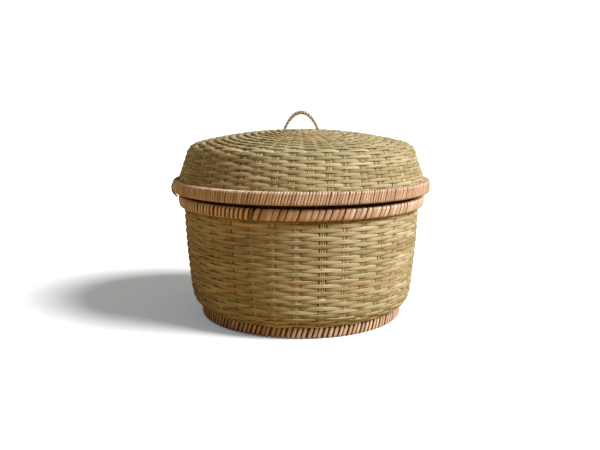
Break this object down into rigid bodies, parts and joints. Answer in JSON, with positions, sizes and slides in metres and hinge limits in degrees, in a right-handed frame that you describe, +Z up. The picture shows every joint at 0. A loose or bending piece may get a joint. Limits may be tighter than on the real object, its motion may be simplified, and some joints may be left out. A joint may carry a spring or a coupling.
{
  "type": "lidded woven basket",
  "caption": "Round woven basket with a domed lid, cane-lashed rims and foot, a twisted loop on the crown and a ring that locates the lid.",
  "frame": {"origin": "centre of the basket's foot, on the surface that it stands on", "axes": "+Z up along the basket's axis, -Y towards the front, the loop's plane along X"},
  "size_m": [0.1778, 0.1778, 0.1397],
  "materials": {
    "stakes": "matt dried grass stalks",
    "weavers": "satin dried grass, olive to straw",
    "cane_strip": "satin split cane with glossy rind",
    "hoop_cane": "matt brown cane",
    "loop_cane": "satin twisted cane"
  },
  "bodies": {
    "bowl": {"bowl_shell": "stakes", "bowl_weavers": "weavers", "foot_hoop": "hoop_cane", "foot_lashing": "cane_strip", "rim_hoop": "hoop_cane", "rim_lashing": "cane_strip", "collar_ring": "hoop_cane"},
    "lid": {"lid_shell": "stakes", "lid_weavers": "weavers", "lid_outer_hoop": "hoop_cane", "lid_inner_hoop": "hoop_cane", "lid_lashing": "cane_strip", "handle_strand_a": "loop_cane", "handle_strand_b": "loop_cane"}
  },
  "joints": [
    {"name": "lid_lift", "type": "slide", "parent": "bowl", "child": "lid", "axis": [0, 0, 1], "range_m": [0, 0.12]}
  ]
}
